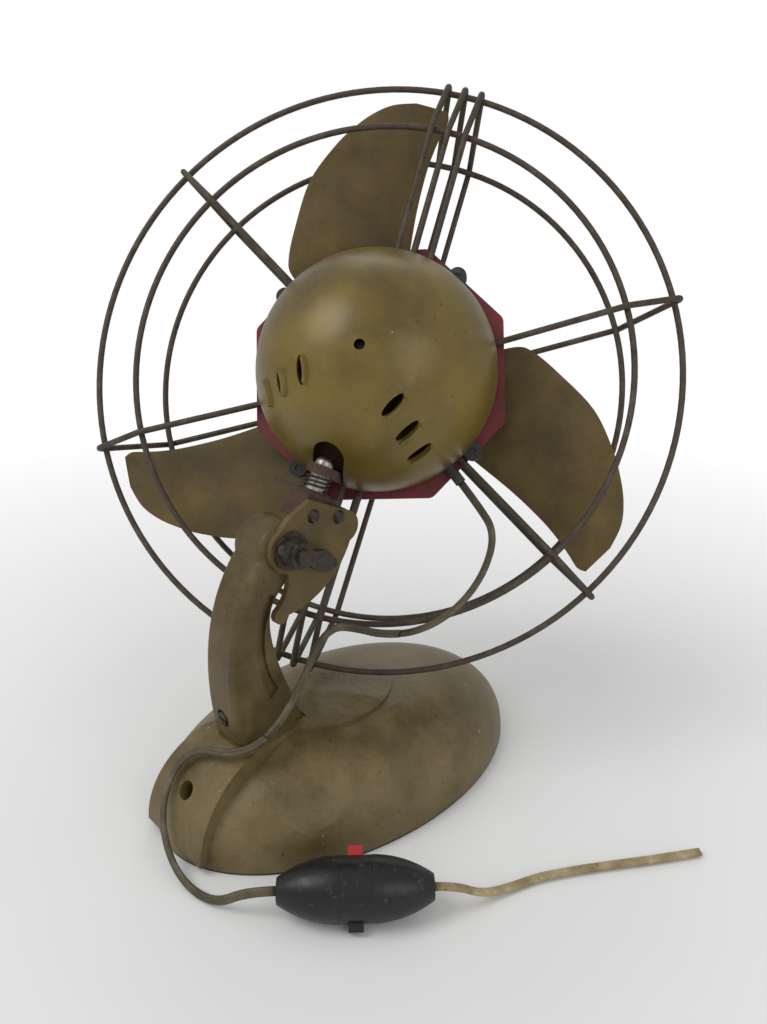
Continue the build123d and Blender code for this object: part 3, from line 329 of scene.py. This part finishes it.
def between(rows, k, u):
    """Row of the blade at share u between rows k and k + 1, on a smooth line through all rows."""
    last = len(rows) - 1
    p = [rows[max(0, min(last, k + i))] for i in (-1, 0, 1, 2)]
    out = []
    for a, b, c, d in zip(*p):
        out.append(b + 0.5 * u * (c - a + u * (2 * a - 5 * b + 4 * c - d + u * (3 * (b - c) + d - a))))
    return out


def make_blade(number):
    seen_angle = BLADE_PHASE + 360 / BLADE_COUNT * (number - 1)
    a = math.radians(seen_angle)
    out = RIGHT * math.cos(a) + UP * math.sin(a)
    across = UP * math.cos(a) - RIGHT * math.sin(a)
    mesh = bpy.data.meshes.new(f"pressed_blade_{number}")
    form = bmesh.new()
    rows = []
    for k in range(len(BLADE_ROWS) - 1):
        rows += [between(BLADE_ROWS, k, step / ROWS_BETWEEN) for step in range(ROWS_BETWEEN)]
    rows.append(BLADE_ROWS[-1])
    grid = []
    for radius, t1, t2, z1, z2, belly in rows:
        line = []
        for i in range(ACROSS + 1):
            u = i / ACROSS
            t = t1 + (t2 - t1) * u
            z = z1 + (z2 - z1) * u - 4 * belly * u * (1 - u)
            line.append(form.verts.new(HEAD + (out * radius + across * t + AIR * z) * MM))
        grid.append(line)
    for low, high in zip(grid, grid[1:]):
        for i in range(ACROSS):
            form.faces.new((low[i], low[i + 1], high[i + 1], high[i]))
    bmesh.ops.recalc_face_normals(form, faces=form.faces)
    for face in form.faces:
        face.smooth = True
    form.to_mesh(mesh)
    form.free()
    blade = bpy.data.objects.new(mesh.name, mesh)
    bpy.context.scene.collection.objects.link(blade)
    sheet = blade.modifiers.new("sheet", "SOLIDIFY")
    sheet.thickness, sheet.offset = BLADE_THICK * MM * SHEET_SHARE, 0.0
    edge = blade.modifiers.new("edge", "BEVEL")
    edge.width, edge.segments, edge.limit_method = EDGE_WIDTH, EDGE_SEGMENTS, "ANGLE"
    mesh.materials.append(MATERIALS["blade_paint"])
    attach(blade, "rotor")
    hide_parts(f"blade_{number}")


for number in range(1, BLADE_COUNT + 1):
    make_blade(number)


# ---- leads -----------------------------------------------------------------------------------
GLAND_SEEN, GLAND_END, GLAND_Z = -31.5, 67.0 * MM, 3.1 * MM
GLAND_RUN, SWITCH_RUN, MAINS_RUN = 13 * MM, 12 * MM, 9 * MM    # from a fitting to the next point
FLOOR_Z = 2.05                                                 # middle of a lead on the floor, mm
gland_mouth = head_point(GLAND_SEEN, GLAND_END, GLAND_Z)
gland_out = (head_point(GLAND_SEEN, 1.0, 0.0) - HEAD).normalized()
switch_in = SWITCH_MID - SWITCH_DIR * SWITCH_HALF
switch_out = SWITCH_MID + SWITCH_DIR * SWITCH_HALF


def at(*xyz):
    return Vector(xyz) * MM


HEAD_LEAD = [
    gland_mouth, gland_mouth + gland_out * GLAND_RUN, at(47, 57, 124), at(51.4, 44.7, 107.5),
    at(47, 30.5, 92), at(36.5, 17, 82), at(25.5, 4.8, 80.8), at(16, -3, 83.3),
    at(10.3, -11, 85), at(11, -21, 81), at(15, -31, 73), at(19, -42, 64),
    at(21, -53, 55), at(19.5, -65, 48.5), at(11, -74.5, 45.5), at(0, -77.5, 44),
    at(-8, -83, 39.5), at(-9.5, -91, 31), at(-5, -98.5, 21), at(4, -103.5, 12),
    at(16, -106, 5.5), at(29, -105.5, FLOOR_Z), at(43, -102, FLOOR_Z + 1.5),
    switch_in - SWITCH_DIR * SWITCH_RUN, switch_in,
]
LOOP_END, FOOT_START = 5, 12             # the route is cut in the middle of the runs after these
cut_upper = (HEAD_LEAD[LOOP_END] + HEAD_LEAD[LOOP_END + 1]) / 2
cut_middle = (HEAD_LEAD[FOOT_START] + HEAD_LEAD[FOOT_START + 1]) / 2
LEAD_UPPER = HEAD_LEAD[:LOOP_END + 1] + [cut_upper]
LEAD_MIDDLE = [cut_upper] + HEAD_LEAD[LOOP_END + 1:FOOT_START + 1] + [cut_middle]
LEAD_LOWER = [cut_middle] + HEAD_LEAD[FOOT_START + 1:]
LEAD_MAINS = [
    switch_out, switch_out + SWITCH_DIR * MAINS_RUN, at(113, -19, 4.2),
    at(117, -6, FLOOR_Z), at(121, 7, FLOOR_Z), at(128, 20, FLOOR_Z),
    at(137, 35, FLOOR_Z), at(148, 52, FLOOR_Z), at(159.8, 72, FLOOR_Z),
]
CORE_SHARE, CORE_SIDES = 0.27, 10        # radius of a core against the lead's width
CORE_HALF_SPAN = math.pi * 0.72          # a core shows over twice this angle
CURVE_STEPS = 10
ALONG_Z, ALONG_X = (0, 0, 1), (1, 0, 0)


def spline_points(points):
    """The route as a smooth line: a NURBS spline with the route's points as control points."""
    curve = bpy.data.curves.new("route", "CURVE")
    curve.dimensions = "3D"
    spline = curve.splines.new("NURBS")
    spline.points.add(len(points) - 1)
    for place, point in zip(spline.points, points):
        place.co = (*point, 1.0)
    spline.order_u = 3
    spline.use_endpoint_u = True
    curve.resolution_u = CURVE_STEPS
    carrier = bpy.data.objects.new("route", curve)
    bpy.context.scene.collection.objects.link(carrier)
    bpy.context.view_layer.update()
    line = bpy.data.meshes.new_from_object(carrier)
    found = [v.co.copy() for v in line.vertices]
    bpy.data.meshes.remove(line)
    bpy.data.objects.remove(carrier)
    bpy.data.curves.remove(curve)
    return found


def twin_outline(width):
    """Outline of a flat two-core lead: two round cores side by side."""
    core = width * CORE_SHARE
    offset = width / 2 - core
    outline = []
    for side, start in ((1, -CORE_HALF_SPAN), (-1, math.pi - CORE_HALF_SPAN)):
        for k in range(CORE_SIDES):
            a = start + 2 * CORE_HALF_SPAN * k / (CORE_SIDES - 1)
            outline.append((side * offset + core * math.cos(a), core * math.sin(a)))
    return outline


def make_lead(name, points, material, wide_way):
    """Sweeps the two-core outline along the route, with its wide side kept near wide_way."""
    line = spline_points(points)
    outline = twin_outline(CORD_DIA)
    form = bmesh.new()
    rings = []
    wide = Vector(wide_way).normalized()
    for i, place in enumerate(line):
        ahead = (line[min(i + 1, len(line) - 1)] - line[max(i - 1, 0)]).normalized()
        wide = (wide - ahead * wide.dot(ahead)).normalized()
        thick = ahead.cross(wide)
        rings.append([form.verts.new(place + wide * x + thick * y) for x, y in outline])
    count = len(outline)
    for a, b in zip(rings, rings[1:]):
        for k in range(count):
            form.faces.new((a[k], a[(k + 1) % count], b[(k + 1) % count], b[k]))
    form.faces.new(rings[0])
    form.faces.new(list(reversed(rings[-1])))
    bmesh.ops.recalc_face_normals(form, faces=form.faces)
    for face in form.faces:
        face.smooth = len(face.verts) == 4
    mesh = bpy.data.meshes.new(name)
    form.to_mesh(mesh)
    form.free()
    mesh.materials.append(material)
    piece = bpy.data.objects.new(name, mesh)
    bpy.context.scene.collection.objects.link(piece)
    return piece, line


upper, upper_line = make_lead("flex_upper", LEAD_UPPER, GREY_LEAD, ALONG_Z)
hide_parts("lead_upper")
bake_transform(upper)
middle, middle_line = make_lead("flex_middle", LEAD_MIDDLE, GREY_LEAD, ALONG_Z)
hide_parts("lead_middle")
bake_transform(middle)
lower, lower_line = make_lead("flex_lower", LEAD_LOWER, GREY_LEAD, ALONG_X)
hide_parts("lead_lower")
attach(lower, "stand")
mains, mains_line = make_lead("flex_mains", LEAD_MAINS, CREAM_LEAD, (SWITCH_DIR.y, -SWITCH_DIR.x, 0))
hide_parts("lead_mains")
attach(mains, "stand")

# ---- floor -----------------------------------------------------------------------------------
FLOOR_HALF = 3.0
FLOOR_COLOUR, FLOOR_ROUGH, FLOOR_SPECULAR = (0.86, 0.86, 0.85, 1.0), 0.9, 0.1
FADE_FROM, FADE_TO = 0.16, 0.62          # distance from the origin
WHITE = (1, 1, 1, 1)
floor_mesh = bpy.data.meshes.new("floor")
floor_corners = [
    (-FLOOR_HALF, -FLOOR_HALF, 0), (FLOOR_HALF, -FLOOR_HALF, 0),
    (FLOOR_HALF, FLOOR_HALF, 0), (-FLOOR_HALF, FLOOR_HALF, 0),
]
floor_mesh.from_pydata(floor_corners, [], [(0, 1, 2, 3)])
floor = bpy.data.objects.new("floor", floor_mesh)
bpy.context.scene.collection.objects.link(floor)
floor_paint, tree, principled = shader("floor_paint")
principled.inputs["Base Color"].default_value = FLOOR_COLOUR
principled.inputs["Roughness"].default_value = FLOOR_ROUGH
principled.inputs["Specular IOR Level"].default_value = FLOOR_SPECULAR
# towards its rim the floor fades into the white background for the camera
place = tree.nodes.new("ShaderNodeTexCoord")
distance = tree.nodes.new("ShaderNodeVectorMath")
distance.operation = "LENGTH"
fade = tree.nodes.new("ShaderNodeMapRange")
fade.inputs["From Min"].default_value = FADE_FROM
fade.inputs["From Max"].default_value = FADE_TO
glow = tree.nodes.new("ShaderNodeEmission")
glow.inputs["Color"].default_value = WHITE
rays = tree.nodes.new("ShaderNodeLightPath")
tree.links.new(place.outputs["Object"], distance.inputs[0])
tree.links.new(distance.outputs["Value"], fade.inputs["Value"])
seen = combine(tree, "MULTIPLY", fade.outputs["Result"], rays.outputs["Is Camera Ray"])
whiten(tree, seen, principled.outputs["BSDF"], glow.outputs["Emission"], "Material Output")
floor_mesh.materials.append(floor_paint)

# ---- background: a soft sky for the light, plain white for the camera ------------------------
WORLD_COLOUR, WORLD_LEVEL = (0.98, 0.99, 1.0, 1.0), 0.55
world = bpy.data.worlds.new("studio")
bpy.context.scene.world = world
world.use_nodes = True
tree = world.node_tree
sky = tree.nodes["Background"]
sky.inputs["Color"].default_value = WORLD_COLOUR
sky.inputs["Strength"].default_value = WORLD_LEVEL
white = tree.nodes.new("ShaderNodeBackground")
white.inputs["Color"].default_value = WHITE
white.inputs["Strength"].default_value = 1.0
rays = tree.nodes.new("ShaderNodeLightPath")
shown = combine(tree, "MAXIMUM", rays.outputs["Is Camera Ray"], rays.outputs["Is Transmission Ray"])
whiten(tree, shown, sky.outputs["Background"], white.outputs["Background"], "World Output")

# ---- lamps -----------------------------------------------------------------------------------
AIM = Vector((0, 0, 0.16))
LAMP_SIZE = 0.9
LAMPS = (                                # name, place, watts
    ("key", (-0.35, -0.9, 1.3), 7.5),
    ("side", (1.2, -0.1, 0.75), 2.5),
    ("far", (-0.8, 0.9, 1.1), 3.0),
)
for name, lamp_place, power in LAMPS:
    light = bpy.data.lights.new(name, "AREA")
    light.shape = "DISK"
    light.size = LAMP_SIZE
    light.energy = power
    lamp = bpy.data.objects.new(name, light)
    bpy.context.scene.collection.objects.link(lamp)
    lamp.location = lamp_place
    lamp.rotation_euler = (AIM - Vector(lamp_place)).to_track_quat("-Z", "Y").to_euler()

# ---- camera at the photo's angle -------------------------------------------------------------
CAMERA_PLACE = Vector((300.5, -245.7, 286.7)) * MM
LOOK = Vector((-0.688, 0.6287, -0.3624)).normalized()
FOCAL_PX, PHOTO_HIGH, SENSOR = 905.8, 1024, 36.0
NEAR_CLIP = 0.01
side = LOOK.cross(Vector((0, 0, 1))).normalized()
lens = bpy.data.cameras.new("photo_camera")
lens.sensor_width = SENSOR
lens.lens = FOCAL_PX / PHOTO_HIGH * SENSOR
lens.clip_start = NEAR_CLIP
camera = bpy.data.objects.new("photo_camera", lens)
bpy.context.scene.collection.objects.link(camera)
turn = Matrix((side, side.cross(LOOK), -LOOK)).transposed()
camera.matrix_world = Matrix.Translation(CAMERA_PLACE) @ turn.to_4x4()
bpy.context.scene.camera = camera
bpy.context.scene.view_settings.view_transform = "Standard"
